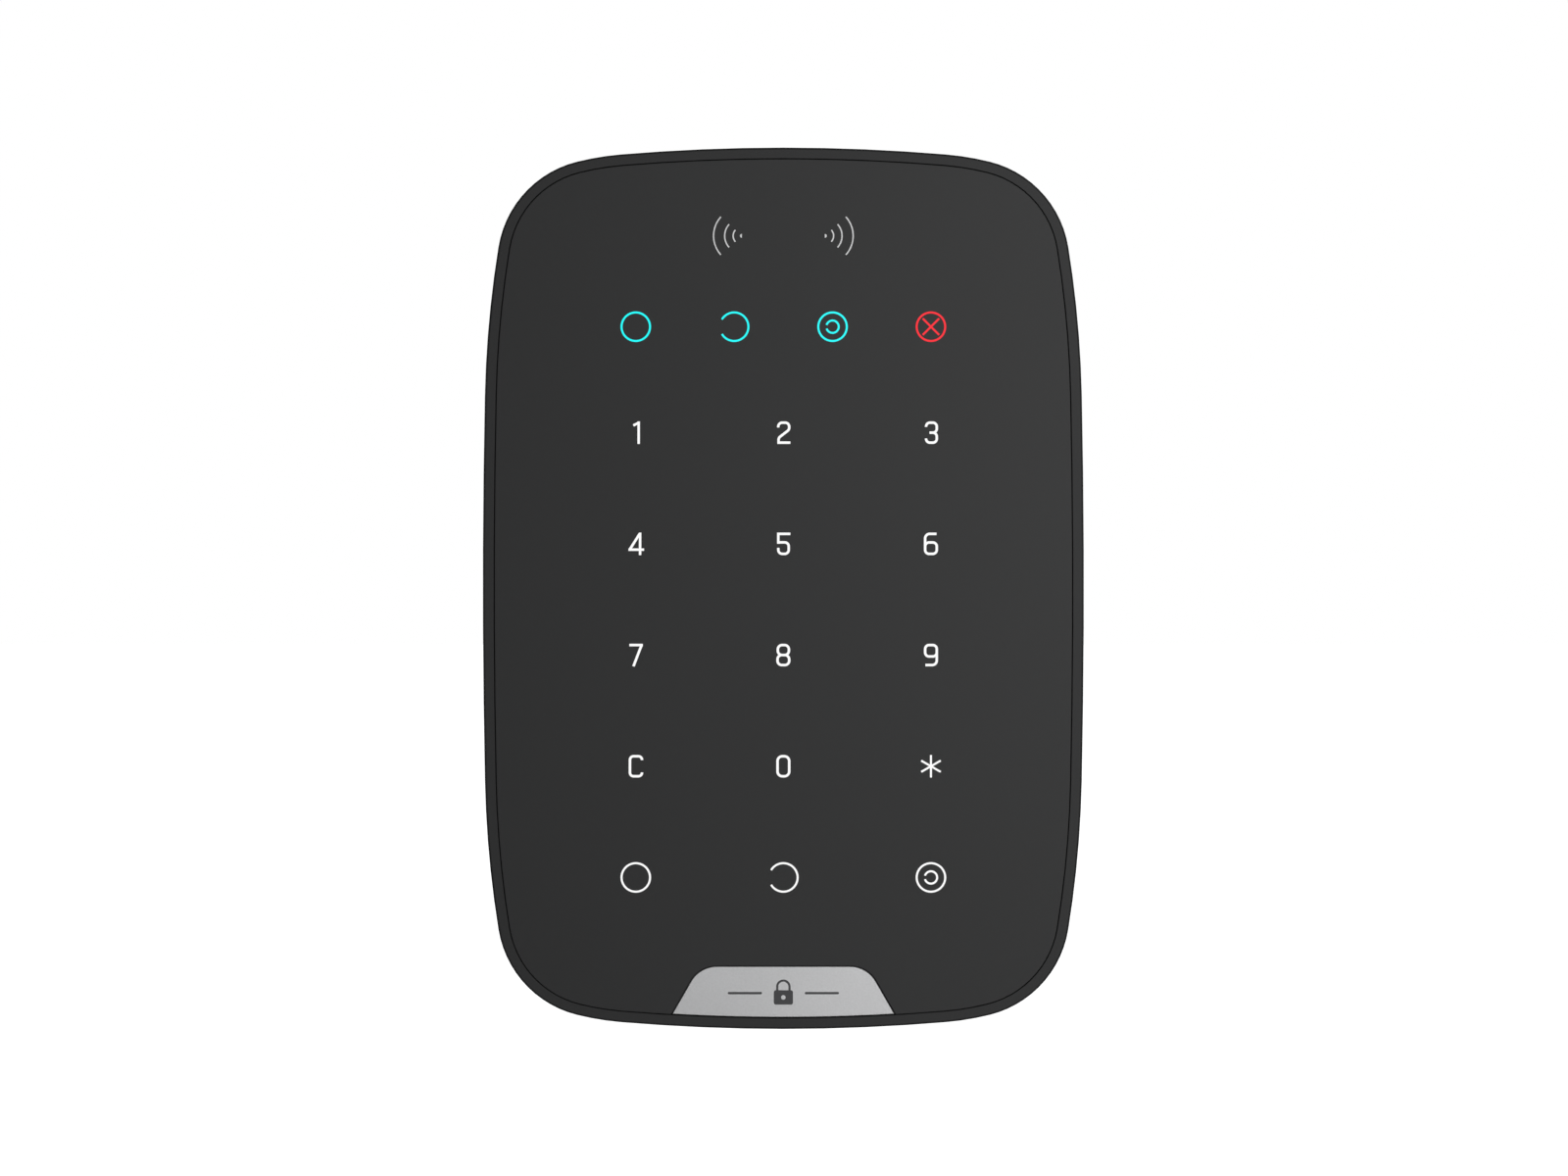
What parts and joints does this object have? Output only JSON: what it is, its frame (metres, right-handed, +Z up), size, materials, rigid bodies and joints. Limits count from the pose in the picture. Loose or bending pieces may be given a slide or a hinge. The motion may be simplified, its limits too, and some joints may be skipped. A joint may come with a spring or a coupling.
{
  "type": "rfid card reader",
  "caption": "Slim wall-mounted card reader with a touch keypad: flat dark front in a thin rim, hung on the hooks of a mounting plate and run from cells in side trays.",
  "frame": {"origin": "centre of the mounting plate's back face, on the wall", "axes": "+X to the right of the keypad, +Z up, +Y into the wall; the front faces -Y"},
  "size_m": [0.1124, 0.02, 0.165],
  "materials": {
    "case_plastic": "fine spark texture, satin",
    "panel_plastic": "fine matt film over plastic",
    "plate_plastic": "satin moulded",
    "black_plastic": "matt moulded",
    "white_legend": "translucent white inlay",
    "cyan_legend": "translucent cyan inlay",
    "red_legend": "translucent red inlay",
    "grey_print": "printed grey",
    "badge_metal": "bead-blasted, anodised silver",
    "badge_print": "dark inlay",
    "adhesive": "foam tape",
    "diffuser": "milky acrylic",
    "copper": "copper trace",
    "board": "green solder mask",
    "steel_screw": "zinc-plated steel",
    "brass_insert": "turned brass",
    "led": "clear resin",
    "chip": "black epoxy",
    "shield": "tin-plated steel",
    "ceramic": "ceramic",
    "capacitor": "sleeved can",
    "spring_steel": "nickel-plated spring wire",
    "button_plastic": "grey moulded",
    "cell_can": "printed steel can",
    "cell_core": "packed powder",
    "label_paper": "plain paper label"
  },
  "bodies": {
    "plate": {"mounting_plate": "plate_plastic", "locking_screw": "steel_screw"},
    "tamper": {"tamper_plunger": "button_plastic"},
    "button": {"power_button": "button_plastic", "power_switch_actuator": "button_plastic"},
    "case": {"rear_shell": "case_plastic", "threaded_insert": "brass_insert", "service_label": "label_paper", "bezel_frame": "case_plastic", "front_panel": "panel_plastic", "digit_windows": "white_legend", "function_windows": "white_legend", "status_windows": "cyan_legend", "fault_window": "red_legend", "reader_marks": "grey_print", "badge_plate": "badge_metal", "badge_emblem": "badge_print", "panel_adhesive": "adhesive", "light_baffle": "black_plastic", "light_diffusers": "diffuser", "touch_electrodes": "copper", "main_board": "board", "board_screws": "steel_screw", "key_leds": "led", "status_leds": "led", "reader_coil": "copper", "reader_chip": "chip", "controller_chip": "chip", "touch_chip": "chip", "radio_shield": "shield", "board_passives": "ceramic", "storage_capacitors": "capacitor", "buzzer": "black_plastic", "tamper_housing": "black_plastic", "tamper_spring": "spring_steel", "power_switch_base": "black_plastic", "left_battery_tray": "black_plastic", "right_battery_tray": "black_plastic", "left_battery_cover": "case_plastic", "right_battery_cover": "case_plastic", "cover_screws": "steel_screw", "case_screws": "steel_screw", "battery_cans": "cell_can", "battery_cores": "cell_core", "battery_terminals": "spring_steel", "battery_springs": "spring_steel", "battery_contacts": "spring_steel"}
  },
  "joints": [
    {"name": "case_slide", "type": "slide", "parent": "plate", "child": "case", "axis": [0, 0, 1], "range_m": [0, 0.008]},
    {"name": "tamper_plunger_travel", "type": "slide", "parent": "case", "child": "tamper", "axis": [0, 1, 0], "range_m": [0, 0.0012], "deforming": ["tamper_spring"]},
    {"name": "power_button_press", "type": "slide", "parent": "case", "child": "button", "axis": [0, -1, 0], "range_m": [0, 0.0005], "stiffness_N_per_m": 400, "springref_m": -0.001}
  ],
  "couplings": [
    {"joint": "tamper_plunger_travel", "follows": "case_slide", "ratio": 0.15}
  ]
}
